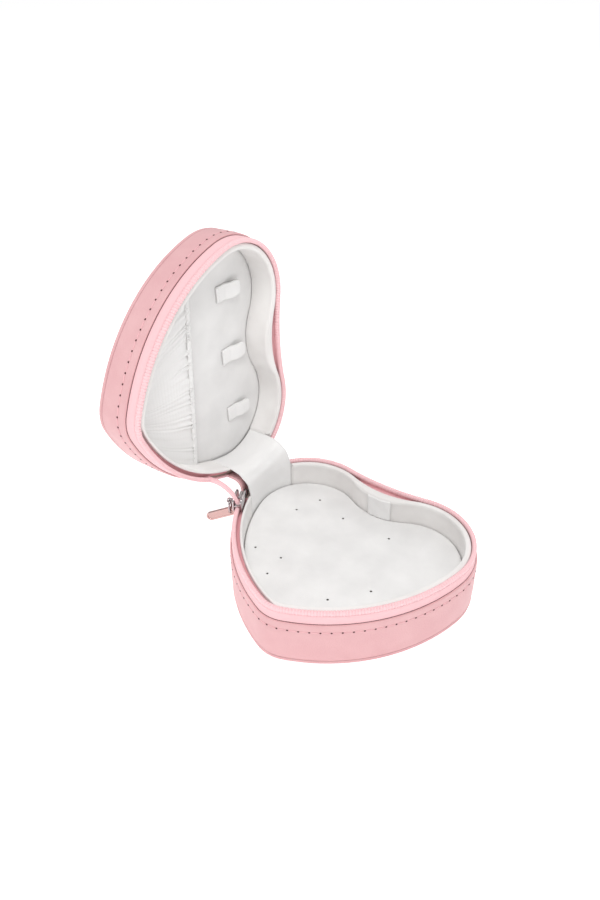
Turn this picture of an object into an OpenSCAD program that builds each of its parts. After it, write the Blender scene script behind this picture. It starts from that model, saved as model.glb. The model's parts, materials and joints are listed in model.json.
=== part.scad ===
// Heart-shaped zipped leather jewellery case, shown open.
// The base stands on the XY plane. The heart's line of symmetry is the Y axis,
// with the tip towards -Y, and the lid is hinged on the left lobe (-X).
// The origin is the middle of the base's footprint, on its underside.

/* [Case outline] */
// Width of the case across both lobes
case_width = 110; // [96:1:134]
// Length of the case from tip to lobes
case_length = 94.4; // [84:0.2:116]
// Radius of each lobe
lobe_radius = 29.4; // [26:0.1:33]
// Radius of the tip
tip_radius = 16; // [10:0.5:20]
// Radius of the long curve of each side
side_radius = 79; // [70:1:110]
// Radius of the cleft in the leather
cleft_radius = 44; // [30:1:60]
// Radius of the cleft in the zip, which the tape bridges more gently
zip_cleft_radius = 110; // [60:5:160]
// Radius of the cleft on the inner face of the padded lining
lining_cleft_radius = 22; // [12:1:30]

/* [Heights] */
// Height of the leather side of the base
base_leather_h = 22; // [18:0.5:30]
// Height of the leather side of the lid
lid_leather_h = 14.2; // [12:0.2:22]
// Height of the tape and coil that stand above each leather side
zip_band_h = 6.4; // [6:0.1:9]
// Gap between the two rows of coil when the case is closed
zip_parting = 1; // [0.8:0.1:1.6]
// Height of the earring panel's face above the table
panel_face_z = 16.5; // [13:0.5:18]
// Depth of the lid's inner panel below the lid's outer face
lid_panel_depth = 8.2; // [6.5:0.1:10]

/* [Layers] */
// Thickness of the leather
leather_t = 1; // [0.8:0.1:1.4]
// Thickness of the zip tape
tape_t = 0.55; // [0.4:0.05:0.7]
// Thickness of the board inside the side wall
wall_board_t = 1.4; // [1:0.1:2]
// Thickness of the board under the base and lid covers
flat_board_t = 2; // [1.2:0.1:2.5]
// Distance from the leather's outer face to the padded lining's inner face
wall_depth = 5.4; // [5.2:0.1:7]
// Thickness of the velvet on the compartment floor
floor_lining_t = 0.8; // [0.5:0.1:1.5]
// Gap between layers that are glued or sewn together
layer_gap = 0.05; // [0.02:0.01:0.1]
// Diameter of the piping round the outer edges
piping_d = 2; // [1.6:0.1:2.6]

/* [Stitching] */
// Distance from one stitch to the next
stitch_pitch = 4.3; // [4:0.1:7]
// Length of a stitch
stitch_length = 3.2; // [2:0.1:3.6]
// Width of the thread
thread_w = 0.6; // [0.4:0.1:0.8]
// Distance of the stitches from the leather's edge
stitch_margin = 3.8; // [3:0.1:6]

/* [Zip] */
// Width of the coil, across the rim
coil_w = 2; // [1.6:0.1:2.2]
// Height of one row of coil
coil_h = 2.5; // [2:0.1:2.8]
// Running clearance round the coil and tape inside the slider
slide_clearance = 0.3; // [0.25:0.05:0.35]
// Thickness of each plate of the slider
slider_plate_t = 0.9; // [0.7:0.05:0.9]
// Length of the slider
slider_length = 9; // [7:0.5:11]
// Angle round the side curve at which the slider is parked
slider_park_angle = 204; // [203:0.5:206]
// Length of the pull tab
pull_length = 14.5; // [10:0.5:18]
// Width of the pull tab
pull_width = 4.2; // [3.6:0.1:4.2]
// Angle at which the pull tab droops
pull_droop = 25; // [15:1:35]

/* [Lid and hinge] */
// Angle to which the lid is open
open_angle = 92; // [85:1:100]
// Width of the leather hinge and of the fabric strap inside it
hinge_width = 29; // [24:0.5:30]
// Distance of the hinge axis from the widest point of the case
hinge_standoff = 0.6; // [0.4:0.1:1.2]
// Thickness of the fabric strap
strap_t = 0.6; // [0.4:0.1:1]

/* [Earring panel] */
// Thickness of the earring panel's board
panel_board_t = 2; // [1.5:0.1:3]
// Thickness of the velvet pad on the board
panel_pad_t = 1.45; // [1:0.05:2]
// Clearance between the earring panel and the lining
panel_clearance = 0.3; // [0.3:0.05:0.6]
// Width of the ledge that the earring panel rests on
ledge_w = 3; // [2:0.5:5]
// Diameter of the holes for earring posts
post_hole_d = 0.9; // [0.7:0.1:1.4]
// Width of the pull ribbon
ribbon_width = 11; // [8:0.5:14]
// Thickness of the pull ribbon
ribbon_t = 0.4; // [0.3:0.1:0.6]

/* [Lid fittings] */
// Width of a necklace hook
hook_width = 7; // [6:0.5:9]
// Length of a necklace hook
hook_length = 13.5; // [12:0.5:17]
// Distance from one necklace hook to the next
hook_spacing = 29; // [22:1:30]
// Thickness of a necklace hook's strap
hook_t = 0.9; // [0.6:0.1:1.2]
// Distance of the pocket's elastic edge from the middle of the case, towards the tip
pocket_edge_y = 3; // [0:0.5:8]
// Width of the pocket's elastic edge
elastic_w = 3; // [2:0.5:5]
// Room between the gathered pocket and the panel
pocket_room = 1.6; // [1:0.1:2]
// Thickness of the gathered satin
satin_t = 0.7; // [0.5:0.1:1]

/* [Hidden] */

leather = "#f8c6c8";
tape_pink = "#fbd5d9";
thread_pink = "#f3b6ba";
board_grey = "#b9ada2";
velvet = "#ecebe8";
satin = "#f2f2f0";
chrome = "#c9c6c6";

// Heart outline: arcs for the tip, the two sides, the two lobes and the cleft
lobe_x = case_width / 2 - lobe_radius;
lobe_y = case_length / 2 - lobe_radius;
tip_y = tip_radius - case_length / 2;
lobe_c = [lobe_x, lobe_y];
tip_c = [0, tip_y];
side_c = side_centre();
side_end_a = angle_of(tip_c - side_c);
side_start_a = angle_of(lobe_c - side_c);
arc_step = 6;
fine_step = 3;
fine_above_r = 40;
piping_sides = 12;
eps = 0.01;

// Insets of the layers from the leather's outer face
tape_in = leather_t + layer_gap;
wall_board_in = tape_in + tape_t + layer_gap;
lining_in = wall_board_in + wall_board_t + layer_gap;
coil_in = leather_t - 0.1;
inner_plate_in = coil_in + coil_w + slide_clearance;
rim_in = inner_plate_in + slider_plate_t + slide_clearance;

// Heights of the layers, measured from the outer face of either half
piping_r = piping_d / 2;
wall_start = piping_d + layer_gap;
board_start = leather_t + layer_gap;
inside_start = board_start + flat_board_t + layer_gap;
floor_top = inside_start + floor_lining_t;
tuck_h = 6;
board_above_leather = 2.5;
lining_below_coil = 1.2;
lid_panel_t = 2.2;
base_zip_h = base_leather_h + zip_band_h;
lid_zip_h = lid_leather_h + zip_band_h;
parting_z = base_zip_h + zip_parting / 2;
closed_h = base_zip_h + zip_parting + lid_zip_h;

// Hinge axis, parallel to Y, beside the widest point of the left lobe
hinge_x = -case_width / 2 - hinge_standoff;
hinge_y0 = lobe_y - hinge_width / 2;
hinge_y1 = lobe_y + hinge_width / 2;
hinge_gap = 0.3;
strip_bend_steps = 8;
strip_columns = 16;

// Zip stops, just inside the room left for the hinge, or before the lid's row of coil
stop_length = 1.2;
stop_w = coil_w - 0.25;
stop_r = lobe_radius - coil_in;
back_stop_a = 180 - asin((hinge_width / 2 + hinge_gap) / stop_r) + stop_length * 1.4;
front_stop_a = 180 + asin((side_c[1] - hinge_y0 + hinge_gap) / (side_radius - coil_in))
    - stop_length * 0.7;

// Slider
slider_flange_t = 0.5;
slider_corner_r = 2;
slider_half_h = zip_parting / 2 + coil_h + slide_clearance + slider_flange_t;
slider_half_a = atan(slider_length / 2 / side_radius);
lid_coil_start_a = slider_park_angle + slider_half_a + 2.2;
post_t = 0.5;
post_length = 2;
lug_t = 1.2;
lug_reach = 2.2;
lug_r = 1.5;
wire_d = 0.9;
ring_drop = 6;
ring_inner_w = 2.6;
pull_t = 1.4;
eye_d = wire_d + 0.6;
lug_x = slide_clearance - coil_in + slider_plate_t + lug_reach;
lug_z = parting_z - 0.5;

// Earring panel
board_top = panel_face_z - panel_pad_t - layer_gap;
board_bottom = board_top - panel_board_t;
ledge_top = board_bottom - 0.1;
panel_in = wall_depth + panel_clearance;
board_in = panel_in + 0.6;
ribbon_x = 2;
ribbon_top = base_zip_h - 1.8;
post_holes = [[-32, 18], [-27, 30], [-11, 25], [13, 25], [-32, -13],
    [-19, -12], [-18, -23], [11, -21], [23, -7]];

// Necklace hooks and pocket, on the lid's inner panel
hook_y = 17;
hook_lift = 1.5;
hook_corner = 2.4;
pocket_hem = 1.5;
elastic_t = satin_t + 0.3;

// ---------- geometry ----------

function angle_of(v) = atan2(v[1], v[0]);

// Centre of the right side's arc, which runs smoothly into the lobe and the tip
function side_centre() =
    let (d = lobe_c - tip_c, dist = norm(d), u = d / dist,
        to_lobe = side_radius - lobe_radius, to_tip = side_radius - tip_radius,
        along = (dist * dist + to_tip * to_tip - to_lobe * to_lobe) / (2 * dist),
        across = sqrt(to_tip * to_tip - along * along))
    tip_c + u * along + [-u[1], u[0]] * across;

function cleft_c(rc) = [0, lobe_y + sqrt(pow(lobe_radius + rc, 2) - lobe_x * lobe_x)];
function lobe_end_a(rc) = angle_of(cleft_c(rc) - lobe_c);

// Points at even steps from a0, without the last one at a1, so that arcs of the same centre
// and nominal radius share their facets whatever their inset and end
function arc_points(c, nominal_r, r, a0, a1) =
    let (step = nominal_r > fine_above_r ? fine_step : arc_step,
        n = max(1, ceil(abs(a1 - a0) / step - 0.1)), da = sign(a1 - a0) * step)
    [for (i = [0:n - 1]) c + r * [cos(a0 + da * i), sin(a0 + da * i)]];

// Right half of the heart, inset by d, from the tip up to the cleft
function half_heart(d, rc) = concat(
    arc_points(tip_c, tip_radius, tip_radius - d, -90, side_end_a),
    arc_points(side_c, side_radius, side_radius - d, side_end_a, side_start_a),
    arc_points(lobe_c, lobe_radius, lobe_radius - d, side_start_a, lobe_end_a(rc)),
    arc_points(cleft_c(rc), rc, rc + d, lobe_end_a(rc) + 180, 270),
    [cleft_c(rc) - [0, rc + d]]);
function heart(d, rc) =
    let (half = half_heart(d, rc), n = len(half))
    concat(half, [for (i = [n - 2:-1:1]) [-half[i][0], half[i][1]]]);

// X of the left wall at y, inset by d
function left_wall_x(y, d) =
    y > lobe_y + (lobe_radius - d) * sin(side_start_a)
    ? -lobe_x - sqrt(pow(lobe_radius - d, 2) - pow(y - lobe_y, 2))
    : -side_c[0] - sqrt(pow(side_radius - d, 2) - pow(y - side_c[1], 2));

// Flat plate with the heart outline
module plate(d, rc, z0, z1) {
    translate([0, 0, z0]) linear_extrude(z1 - z0) polygon(heart(d, rc));
}

// Wall round the heart, from inset d0 to inset d1
module ring(d0, d1, rc, z0, z1) {
    difference() {
        plate(d0, rc, z0, z1);
        plate(d1, rc, z0 - 1, z1 + 1);
    }
}
module cleft_sweep(c, r, a0, a1) {
    translate(c) rotate(a0) rotate_extrude(angle = a1 - a0, $fn = 96)
        translate([r, 0]) children();
}

// Closed sheet between two grids of points of the same size
module sheet(front, back) {
    rows = len(front);
    cols = len(front[0]);
    points = concat([for (row = front) each row], [for (row = back) each row]);
    shift = rows * cols;
    function at(i, j) = i * cols + j;
    front_faces = [for (i = [0:rows - 2], j = [0:cols - 2], half = [0, 1])
        half == 0 ? [at(i, j), at(i + 1, j), at(i + 1, j + 1)]
                  : [at(i, j), at(i + 1, j + 1), at(i, j + 1)]];
    back_faces = [for (f = front_faces) [f[2] + shift, f[1] + shift, f[0] + shift]];
    rim = concat([for (j = [0:cols - 2]) at(0, j)], [for (i = [0:rows - 2]) at(i, cols - 1)],
        [for (j = [cols - 1:-1:1]) at(rows - 1, j)], [for (i = [rows - 1:-1:1]) at(i, 0)]);
    rim_faces = [for (k = [0:len(rim) - 1], half = [0, 1])
        let (a = rim[k], b = rim[(k + 1) % len(rim)])
        half == 0 ? [a, b, b + shift] : [a, b + shift, a + shift]];
    polyhedron(points, concat(front_faces, back_faces, rim_faces));
}

// Lid half, drawn like the base with its outer face down, put in its open place
module in_lid() {
    translate([hinge_x, 0, parting_z]) rotate([0, -open_angle, 0])
        translate([-hinge_x, 0, closed_h - parting_z]) mirror([0, 0, 1]) children();
}
function lid_point(x, y, z) =
    let (dx = x - hinge_x, dz = closed_h - z - parting_z)
    [hinge_x + dx * cos(open_angle) - dz * sin(open_angle), y,
        parting_z + dx * sin(open_angle) + dz * cos(open_angle)];

// ---------- pieces that both halves share ----------

module outer_cover() {
    color(leather) plate(piping_d + layer_gap, cleft_radius, 0, leather_t);
}
// Round bead along the outer edge: one ring of points for each step round its section
module piping() {
    rings = [for (i = [0:piping_sides - 1]) let (a = 360 * i / piping_sides)
        [for (p = heart(piping_r * (1 + cos(a)), cleft_radius))
            [p[0], p[1], piping_r * (1 + sin(a))]]];
    n = len(rings[0]);
    function at(i, j) = (i % piping_sides) * n + j % n;
    color(leather) polyhedron([for (ring = rings) each ring],
        [for (i = [0:piping_sides - 1], j = [0:n - 1], half = [0, 1])
            half == 0 ? [at(i, j), at(i, j + 1), at(i + 1, j + 1)]
                      : [at(i, j), at(i + 1, j + 1), at(i + 1, j)]]);
}
module wall_cover(h) {
    color(leather) ring(0, leather_t, cleft_radius, wall_start, h);
}
module flat_board() {
    color(board_grey) plate(piping_d + layer_gap, cleft_radius,
        board_start, board_start + flat_board_t);
}
module wall_board(h) {
    color(board_grey) ring(wall_board_in, wall_board_in + wall_board_t, cleft_radius,
        inside_start, h + board_above_leather);
}
module lining_wall(h, z0) {
    z1 = h + board_above_leather + layer_gap;
    top = h + zip_band_h - lining_below_coil;
    color(velvet) difference() {
        union() {
            plate(lining_in, cleft_radius, z0, z1);
            plate(rim_in, cleft_radius, z0, top);
        }
        plate(wall_depth, lining_cleft_radius, z0 - 1, top + 1);
        strap_recess(z0, top);
        translate([hinge_x, hinge_y0 - layer_gap, z1 - eps])
            cube([case_width / 4, hinge_width + 2 * layer_gap, top]);
    }
}
// Recess in the lining's inner face, which the hinge strap is glued into
module strap_recess(z0, z1) {
    intersection() {
        plate(wall_depth - strap_t - layer_gap, lining_cleft_radius, z0 - 1, z1 + 1);
        translate([hinge_x, hinge_y0 - layer_gap, z0 - 1])
            cube([case_width / 4, hinge_width + 2 * layer_gap, z1 - z0 + 2]);
    }
}
module zip_tape(h) {
    tape_end = h + zip_band_h - coil_h - layer_gap;
    visible_start = h + layer_gap;
    color(tape_pink) {
        ring(tape_in, tape_in + tape_t, cleft_radius, h - tuck_h, visible_start + tape_t);
        ring(tape_in, tape_in + tape_t, zip_cleft_radius, visible_start, tape_end);
        difference() {
            plate(tape_in, zip_cleft_radius, visible_start, visible_start + tape_t);
            plate(tape_in + tape_t, cleft_radius, visible_start - 1, visible_start + 1);
        }
    }
}
module zip_coil(h) {
    color(tape_pink) ring(coil_in, coil_in + coil_w, zip_cleft_radius,
        h + zip_band_h - coil_h, h + zip_band_h);
}
// Room for the hinge, through the zip of either half
module hinge_room(h) {
    translate([hinge_x, hinge_y0 - hinge_gap, h - eps])
        cube([case_width / 4, hinge_width + 2 * hinge_gap, zip_band_h + 1]);
}
// Room for the parked slider, through the lid's zip, from the hinge to where its coil starts
module parked_slider_room(h) {
    hinge_side_a = 190;
    slant_a = 7;
    far = side_radius + 2;
    reach = side_radius - 2 * wall_depth;
    function on_side(r, a) = [-side_c[0] + r * cos(a), side_c[1] + r * sin(a)];
    translate([0, 0, h - eps]) linear_extrude(zip_band_h + 1)
        polygon([on_side(reach, hinge_side_a), on_side(far, hinge_side_a),
            on_side(far + 2, lid_coil_start_a - slant_a),
            on_side(far, lid_coil_start_a), on_side(reach, lid_coil_start_a)]);
}
// Metal stops beyond both ends of a row of coil, at angles round the side and the lobe
module zip_stops(h, side_a, lobe_a) {
    z = h + zip_band_h - coil_h;
    color(chrome) {
        translate([-side_c[0], side_c[1], z]) rotate(side_a)
            translate([side_radius - coil_in - coil_w, -stop_length / 2, 0])
                cube([stop_w, stop_length, coil_h]);
        translate([-lobe_x, lobe_y, z]) rotate(lobe_a)
            translate([lobe_radius - coil_in - coil_w, -stop_length / 2, 0])
                cube([stop_w, stop_length, coil_h]);
    }
}
module stitching(h) {
    color(thread_pink) for (m = [0, 1]) mirror([m, 0, 0]) {
        stitch_arc(tip_c, tip_radius, -90, side_end_a, h, 1);
        stitch_arc(side_c, side_radius, side_end_a, side_start_a, h, 1);
        stitch_arc(lobe_c, lobe_radius, side_start_a, lobe_end_a(cleft_radius), h, 1);
        stitch_arc(cleft_c(cleft_radius), cleft_radius,
            lobe_end_a(cleft_radius) + 180, 270, h, -1);
    }
}
module stitch_arc(c, r, a0, a1, h, outward) {
    thread_t = 0.25;
    count = max(1, round(abs(a1 - a0) * PI / 180 * r / stitch_pitch));
    lift = outward > 0 ? layer_gap : -layer_gap - thread_t;
    for (i = [0:count - 1])
        translate([c[0], c[1], h - stitch_margin - thread_w / 2])
            rotate(a0 + (a1 - a0) * (i + 0.5) / count)
                translate([r + lift, -stitch_length / 2, 0])
                    cube([thread_t, stitch_length, thread_w]);
}

// ---------- base ----------

module base_bottom_cover() { outer_cover(); }
module base_piping() { piping(); }
module base_wall_cover() { wall_cover(base_leather_h); }
module base_wall_stitching() { stitching(base_leather_h); }
module base_bottom_board() { flat_board(); }
module base_wall_board() { wall_board(base_leather_h); }
module base_floor_lining() {
    color(velvet) plate(lining_in, cleft_radius, inside_start, floor_top);
}
module base_lining_wall() { lining_wall(base_leather_h, floor_top + layer_gap); }
module panel_ledge() {
    color(velvet) difference() {
        plate(wall_depth + layer_gap, lining_cleft_radius, floor_top + layer_gap, ledge_top);
        plate(wall_depth + ledge_w, lining_cleft_radius, floor_top, ledge_top + 1);
    }
}
module base_zip_tape() {
    difference() {
        zip_tape(base_leather_h);
        hinge_room(base_leather_h);
    }
}
module base_zip_coil() {
    difference() {
        zip_coil(base_leather_h);
        hinge_room(base_leather_h);
    }
}
module base_zip_stops() { zip_stops(base_leather_h, front_stop_a, back_stop_a); }

// ---------- earring panel ----------

module post_hole_cut(z0, z1) {
    for (p = post_holes)
        translate([p[0], p[1], z0]) cylinder(h = z1 - z0, d = post_hole_d, $fn = 24);
}
module earring_board() {
    color(board_grey) difference() {
        plate(board_in, lining_cleft_radius, board_bottom, board_top);
        post_hole_cut(board_bottom - 1, board_top + 1);
    }
}
module earring_pad() {
    color(velvet) difference() {
        plate(panel_in, lining_cleft_radius, board_top + layer_gap, panel_face_z);
        post_hole_cut(board_top - 1, panel_face_z + 1);
    }
}
// Satin ribbon that stands against the lining at the cleft and lifts the panel out
module pull_ribbon() {
    r = lining_cleft_radius + wall_depth + panel_clearance;
    half_a = ribbon_width / 2 / r * 180 / PI;
    middle_a = 270 + asin(ribbon_x / r);
    color(satin) cleft_sweep(cleft_c(lining_cleft_radius), r, middle_a - half_a, middle_a + half_a)
        translate([0, panel_face_z + layer_gap])
            square([ribbon_t, ribbon_top - panel_face_z - layer_gap]);
}

// ---------- hinge, at the open angle ----------

// Points of one face of a strip that leaves the base's wall at base_z0, bends beside the
// hinge axis and follows the lid's wall to lid_z1, at inset d
function strip_row(y, d, base_z0, base_z1, lid_z0, lid_z1) =
    let (x = left_wall_x(y, d), from = [x, y, base_z1], to = lid_point(x, y, lid_z0),
        corner = [x, y, max(to[2], base_z1)])
    concat([[x, y, base_z0]],
        [for (i = [0:strip_bend_steps]) let (t = i / strip_bend_steps)
            from * (1 - t) * (1 - t) + corner * 2 * t * (1 - t) + to * t * t],
        [lid_point(x, y, lid_z1)]);
function strip_face(d, base_z0, base_z1, lid_z0, lid_z1) =
    [for (i = [0:strip_columns])
        strip_row(hinge_y0 + hinge_width * i / strip_columns, d, base_z0, base_z1, lid_z0, lid_z1)];

module hinge_leather() {
    bend = 1.4;
    color(leather) sheet(
        strip_face(0, base_leather_h + layer_gap, parting_z - bend,
            closed_h - parting_z - bend, lid_leather_h + layer_gap),
        strip_face(leather_t, base_leather_h + layer_gap, parting_z - bend,
            closed_h - parting_z - bend, lid_leather_h + layer_gap));
}
module hinge_strap() {
    bend = 3.5;
    base_foot = floor_top + layer_gap;
    lid_foot = lid_panel_depth + layer_gap;
    color(satin) sheet(
        strip_face(wall_depth - strap_t, base_foot, parting_z - bend,
            closed_h - parting_z - bend, lid_foot),
        strip_face(wall_depth, base_foot, parting_z - bend,
            closed_h - parting_z - bend, lid_foot));
}

// ---------- lid ----------

module lid_top_cover() { in_lid() outer_cover(); }
module lid_piping() { in_lid() piping(); }
module lid_wall_cover() { in_lid() wall_cover(lid_leather_h); }
module lid_wall_stitching() { in_lid() stitching(lid_leather_h); }
module lid_top_board() { in_lid() flat_board(); }
module lid_wall_board() { in_lid() wall_board(lid_leather_h); }
module lid_padding() {
    color(velvet) in_lid() plate(lining_in, cleft_radius,
        inside_start, lid_panel_depth - lid_panel_t - layer_gap);
}
module lid_panel() {
    color(velvet) in_lid() plate(lining_in, cleft_radius,
        lid_panel_depth - lid_panel_t, lid_panel_depth);
}
module lid_lining_wall() { in_lid() lining_wall(lid_leather_h, lid_panel_depth + layer_gap); }
module lid_zip_tape() {
    in_lid() difference() {
        zip_tape(lid_leather_h);
        hinge_room(lid_leather_h);
        parked_slider_room(lid_leather_h);
    }
}
module lid_zip_coil() {
    in_lid() difference() {
        zip_coil(lid_leather_h);
        hinge_room(lid_leather_h);
        parked_slider_room(lid_leather_h);
    }
}
module lid_zip_stops() {
    in_lid() zip_stops(lid_leather_h, lid_coil_start_a - stop_length / 2 - 0.1, back_stop_a);
}

// Soft tab, sewn down at the tip end, whose raised free end holds a chain
module necklace_hook(x) {
    sewn = 4.5;
    rise_end = 9;
    z0 = lid_panel_depth + layer_gap;
    under = [for (i = [0:8]) let (t = i / 8)
        [sewn + (rise_end - sewn) * t, hook_lift * t * t * (3 - 2 * t)]];
    over = [for (p = under) p + [0, hook_t]];
    profile = concat([[0, 0]], under, [[hook_length, hook_lift], [hook_length, hook_lift + hook_t]],
        [for (i = [len(over) - 1:-1:0]) over[i]], [[0, hook_t]]);
    color(satin) in_lid() translate([x, hook_y, z0]) intersection() {
        translate([-hook_width / 2, 0, 0]) rotate([90, 0, 90])
            linear_extrude(hook_width) polygon(profile);
        translate([0, 0, -1]) linear_extrude(hook_lift + hook_t + 2) union() {
            translate([-hook_width / 2, 0]) square([hook_width, hook_length - hook_corner]);
            translate([hook_corner - hook_width / 2, 0])
                square([hook_width - 2 * hook_corner, hook_length]);
            for (side = [-1, 1])
                translate([side * (hook_width / 2 - hook_corner), hook_length - hook_corner])
                    circle(r = hook_corner, $fn = 32);
        }
    }
}
module necklace_hook_1() { necklace_hook(-hook_spacing); }
module necklace_hook_2() { necklace_hook(0); }
module necklace_hook_3() { necklace_hook(hook_spacing); }

// The part of a plate that lies on the tip side of y
module tip_side(y) {
    intersection() {
        children();
        translate([-case_width, -case_length, -1])
            cube([2 * case_width, case_length + y, closed_h]);
    }
}
module pocket_satin() {
    z0 = lid_panel_depth + layer_gap;
    roof = z0 + pocket_room;
    color(satin) in_lid() tip_side(-pocket_edge_y - elastic_w - layer_gap) difference() {
        plate(wall_depth + layer_gap, lining_cleft_radius, z0, roof + satin_t);
        plate(wall_depth + pocket_hem, lining_cleft_radius, z0 - 1, roof);
    }
}
module pocket_elastic() {
    roof = lid_panel_depth + layer_gap + pocket_room;
    color(satin) in_lid() difference() {
        tip_side(-pocket_edge_y)
            plate(wall_depth + layer_gap, lining_cleft_radius, roof, roof + elastic_t);
        translate([-case_width, -2 * case_length, 0])
            cube([2 * case_width, 2 * case_length - pocket_edge_y - elastic_w, closed_h]);
    }
}

// ---------- zip slider ----------

// Puts a child, drawn with X outwards and Y towards the tip, at the parked slider
module at_slider() {
    translate([-side_c[0], side_c[1], 0]) rotate(slider_park_angle)
        translate([side_radius, 0, 0]) children();
}
function rounded_rectangle(w, h, r) =
    [for (corner = [0:3], i = [0:4])
        let (a = corner * 90 + i * 22.5,
            sx = corner == 0 || corner == 3 ? 1 : -1, sy = corner < 2 ? 1 : -1)
        [sx * (w / 2 - r), sy * (h / 2 - r)] + r * [cos(a), sin(a)]];
module slider_plate(x0) {
    translate([x0, 0, parting_z]) rotate([90, 0, 90]) linear_extrude(slider_plate_t)
        polygon(rounded_rectangle(slider_length, 2 * slider_half_h, slider_corner_r));
}
module slider_body() {
    inner_x = -inner_plate_in;
    outer_x = slide_clearance - coil_in;
    flange_x1 = -tape_in - tape_t - slide_clearance;
    straight = slider_length - 2 * slider_corner_r;
    color(chrome) at_slider() {
        slider_plate(outer_x);
        slider_plate(inner_x - slider_plate_t);
        for (z = [parting_z - slider_half_h, parting_z + slider_half_h - slider_flange_t])
            translate([inner_x - eps, -straight / 2, z])
                cube([flange_x1 - inner_x + eps, straight, slider_flange_t]);
        translate([inner_x - eps, slider_length / 2 - post_length, parting_z - post_t / 2])
            cube([outer_x - inner_x + 2 * eps, post_length, post_t]);
    }
}
module slider_lug() {
    color(chrome) at_slider() translate([lug_x, lug_t / 2, lug_z]) rotate([90, 0, 0])
        linear_extrude(lug_t) difference() {
            union() {
                circle(r = lug_r, $fn = 48);
                translate([-lug_reach + layer_gap, -lug_r]) square([lug_reach - layer_gap, 2 * lug_r]);
            }
            circle(d = eye_d, $fn = 48);
        }
}
module link_ring() {
    r = (ring_inner_w + wire_d) / 2;
    color(chrome) at_slider() translate([lug_x, 0, lug_z - r]) rotate([0, 0, 90]) rotate([90, 0, 0]) {
        rotate_extrude(angle = 180, $fn = 48) translate([r, 0]) circle(d = wire_d, $fn = 32);
        translate([0, 2 * r - ring_drop, 0]) rotate(180)
            rotate_extrude(angle = 180, $fn = 48) translate([r, 0]) circle(d = wire_d, $fn = 32);
        for (side = [-1, 1]) translate([side * r, 2 * r - ring_drop, 0]) rotate([-90, 0, 0])
            cylinder(h = ring_drop - 2 * r, d = wire_d, $fn = 32);
    }
}
module pull_tab() {
    color(chrome) at_slider() translate([lug_x, 0, lug_z - ring_drop]) rotate([0, pull_droop, 0])
        translate([0, pull_t / 2, 0]) rotate([90, 0, 0]) linear_extrude(pull_t) difference() {
            union() {
                circle(d = pull_width, $fn = 48);
                translate([0, -pull_width / 2])
                    square([pull_length - pull_width, pull_width]);
                translate([pull_length - pull_width, 0]) circle(d = pull_width, $fn = 48);
            }
            circle(d = eye_d, $fn = 48);
        }
}

base_bottom_cover();
base_piping();
base_wall_cover();
base_wall_stitching();
base_bottom_board();
base_wall_board();
base_floor_lining();
base_lining_wall();
panel_ledge();
base_zip_tape();
base_zip_coil();
base_zip_stops();
earring_board();
earring_pad();
pull_ribbon();
hinge_leather();
hinge_strap();
lid_top_cover();
lid_piping();
lid_wall_cover();
lid_wall_stitching();
lid_top_board();
lid_wall_board();
lid_padding();
lid_panel();
lid_lining_wall();
lid_zip_tape();
lid_zip_coil();
lid_zip_stops();
necklace_hook_1();
necklace_hook_2();
necklace_hook_3();
pocket_satin();
pocket_elastic();
slider_body();
slider_lug();
link_ring();
pull_tab();
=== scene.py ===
import functools
import json
import math

import bmesh
import bpy
import mathutils.geometry
import numpy as np
from mathutils import Matrix, Vector


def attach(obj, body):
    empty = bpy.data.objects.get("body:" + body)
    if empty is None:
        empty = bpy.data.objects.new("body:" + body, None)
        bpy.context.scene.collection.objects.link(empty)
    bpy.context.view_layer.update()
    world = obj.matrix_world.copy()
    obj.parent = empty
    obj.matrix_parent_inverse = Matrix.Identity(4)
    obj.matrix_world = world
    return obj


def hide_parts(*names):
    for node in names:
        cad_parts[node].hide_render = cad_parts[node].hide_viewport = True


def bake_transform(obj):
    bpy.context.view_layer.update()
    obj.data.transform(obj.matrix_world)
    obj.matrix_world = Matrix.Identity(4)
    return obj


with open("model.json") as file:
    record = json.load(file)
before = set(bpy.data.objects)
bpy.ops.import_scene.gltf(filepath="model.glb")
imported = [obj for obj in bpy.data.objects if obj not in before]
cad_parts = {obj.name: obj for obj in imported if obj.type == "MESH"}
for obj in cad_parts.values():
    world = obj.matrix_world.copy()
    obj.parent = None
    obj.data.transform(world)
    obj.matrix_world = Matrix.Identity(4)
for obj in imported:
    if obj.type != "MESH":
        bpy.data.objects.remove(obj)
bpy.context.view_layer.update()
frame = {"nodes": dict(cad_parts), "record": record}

MM = 0.001

# Outline of the case, in mm, as in the CAD part
WIDTH, LENGTH = 110.0, 94.4
LOBE_R, TIP_R, SIDE_R = 29.4, 16.0, 79.0
LEATHER_CLEFT, ZIP_CLEFT, LINING_CLEFT = 44.0, 110.0, 22.0

# Heights from the outer face of either half
BASE_H, LID_H = 22.0, 14.2
BAND = 6.4
PARTING = 1.0
FLOOR_Z = 3.9
PAD_Z = 16.5
LID_PANEL_Z = 8.2
CLOSED_H = BASE_H + LID_H + 2 * BAND + PARTING

# Layers, as insets from the leather's outer face
COIL_IN, COIL_W, COIL_H = 0.9, 2.0, 2.5
# Real coils have a pitch near 0.9 mm; this is as coarse as the ribs need to show
COIL_PITCH = 1.2
RIM_IN, LINING_IN = 4.4, 5.4
RECESS_IN = 4.75
BOARD_ABOVE = 2.5
FILL_IN = 15.0

STITCH_PITCH, STITCH_LENGTH, STITCH_MARGIN = 4.3, 3.2, 3.8

hinge = next(j for j in frame["record"]["behaviour"]["joints"] if j["name"] == "lid_hinge")
HINGE_X, HINGE_Y, PART_Z = (c / MM for c in hinge["pos_m"])
OPEN = math.radians(max(hinge["range_deg"]))
HINGE_W = 29.0
HINGE_Y0, HINGE_Y1 = HINGE_Y - HINGE_W / 2, HINGE_Y + HINGE_W / 2

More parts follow.
